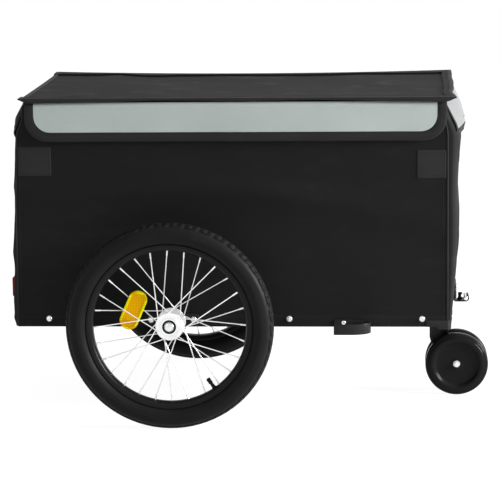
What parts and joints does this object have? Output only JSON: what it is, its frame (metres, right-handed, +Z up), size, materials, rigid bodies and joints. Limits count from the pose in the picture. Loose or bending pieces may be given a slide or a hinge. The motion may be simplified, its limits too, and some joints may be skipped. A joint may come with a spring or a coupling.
{
  "type": "bicycle cargo trailer",
  "caption": "Two-wheeled bicycle cargo trailer: fabric box on a steel ladder frame, hinged fabric cover, spoked wheels and a twin swivel castor.",
  "frame": {"origin": "on the ground under the middle of the trailer's length and width", "axes": "+X forward to the drawbar lug, +Y to the trailer's left, +Z up"},
  "size_m": [0.9282, 0.687, 0.628],
  "materials": {
    "amber_lens": "translucent amber",
    "black_fabric": "coated woven cloth",
    "black_plastic": "gloss black",
    "black_steel": "satin black",
    "bright_steel": "bright",
    "cover_fabric": "coated woven cloth, dark grey",
    "floor_plastic": "matte",
    "light_strip": "reflective tape",
    "red_lens": "translucent red",
    "tyre_rubber": "matte",
    "white_lens": "clear prismatic"
  },
  "bodies": {
    "trailer": {"base_frame": "black_steel", "floor_board": "floor_plastic", "post_rear_right": "black_steel", "post_front_right": "black_steel", "post_rear_left": "black_steel", "post_front_left": "black_steel", "top_frame": "black_steel", "side_panel_right": "black_fabric", "side_panel_left": "black_fabric", "front_panel": "black_fabric", "rear_panel": "black_fabric", "flap_rear": "black_fabric", "strip_rear": "light_strip", "axle_bracket_right": "black_steel", "axle_bracket_left": "black_steel", "axle_pin_right": "bright_steel", "axle_pin_left": "bright_steel", "side_hook_right": "black_steel", "side_hook_left": "black_steel", "drawbar_lug": "black_steel", "lug_pin": "bright_steel", "front_reflector_right": "white_lens", "front_reflector_left": "white_lens", "rear_reflector_right": "red_lens", "rear_reflector_left": "red_lens", "castor_plate": "black_steel"},
    "cover": {"cover_top": "cover_fabric", "flap_right": "black_fabric", "flap_left": "black_fabric", "flap_front": "black_fabric", "strip_right": "light_strip", "strip_left": "light_strip", "strip_front": "light_strip"},
    "wheel_right": {"tyre_right": "tyre_rubber", "rim_right": "black_steel", "hub_spokes_right": "bright_steel", "wheel_reflector_right": "amber_lens"},
    "wheel_left": {"tyre_left": "tyre_rubber", "rim_left": "black_steel", "hub_spokes_left": "bright_steel", "wheel_reflector_left": "amber_lens"},
    "castor_swivel": {"castor_leg": "black_plastic"},
    "castor_pair": {"castor_wheels": "black_plastic"}
  },
  "joints": [
    {"name": "cover_hinge", "type": "hinge", "parent": "trailer", "child": "cover", "pos_m": [-0.43992, 0, 0.6185], "axis": [0, -1, 0], "range_deg": [0, 110]},
    {"name": "wheel_right_spin", "type": "hinge", "parent": "trailer", "child": "wheel_right", "pos_m": [-0.15192, -0.32, 0.2], "axis": [0, 1, 0], "continuous": true},
    {"name": "wheel_left_spin", "type": "hinge", "parent": "trailer", "child": "wheel_left", "pos_m": [-0.15192, 0.32, 0.2], "axis": [0, 1, 0], "continuous": true},
    {"name": "castor_swivel_turn", "type": "hinge", "parent": "trailer", "child": "castor_swivel", "pos_m": [0.36258, 0, 0.175], "axis": [0, 0, 1], "continuous": true},
    {"name": "castor_wheels_spin", "type": "hinge", "parent": "castor_swivel", "child": "castor_pair", "pos_m": [0.40058, 0, 0.0635], "axis": [0, 1, 0], "continuous": true}
  ]
}
